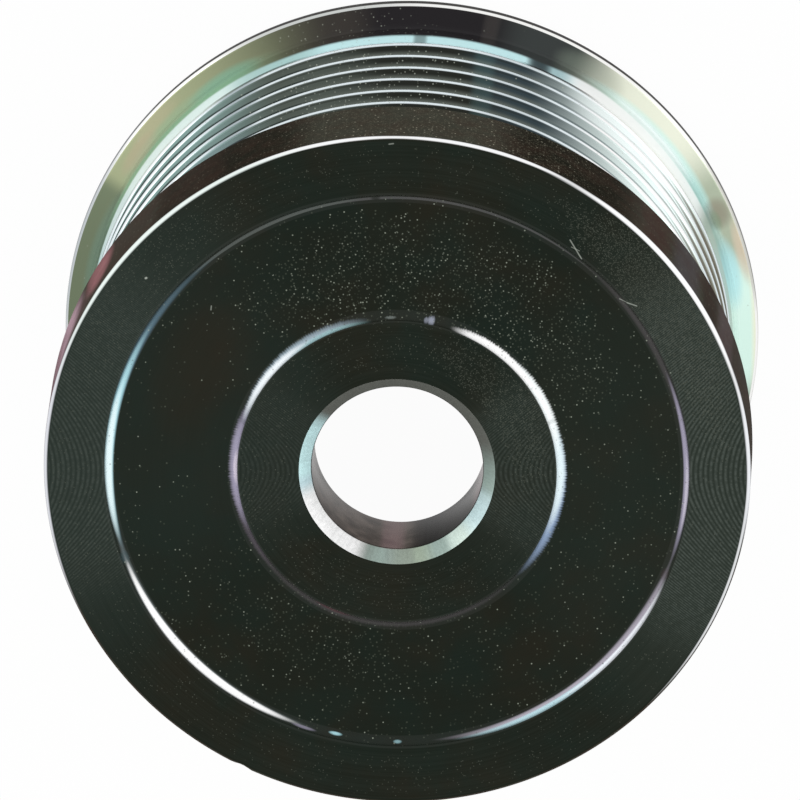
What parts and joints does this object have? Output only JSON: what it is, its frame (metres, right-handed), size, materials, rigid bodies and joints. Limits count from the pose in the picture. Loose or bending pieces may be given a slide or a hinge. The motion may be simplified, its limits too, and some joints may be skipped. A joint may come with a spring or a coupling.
{
  "type": "ribbed belt pulley",
  "caption": "Flanged pulley for a ribbed belt, with a chamfered bore in its front web, a shallow ring relief in the front face and a deep hollow behind the web.",
  "frame": {"origin": "centre of the rear end face, on the pulley's axis", "axes": "+Z along the pulley's axis, from the rear flange towards the front face"},
  "size_m": [0.0688, 0.0688, 0.0422],
  "materials": {
    "plated_steel": "satin"
  },
  "bodies": {
    "root": {"pulley": "plated_steel"}
  },
  "joints": []
}
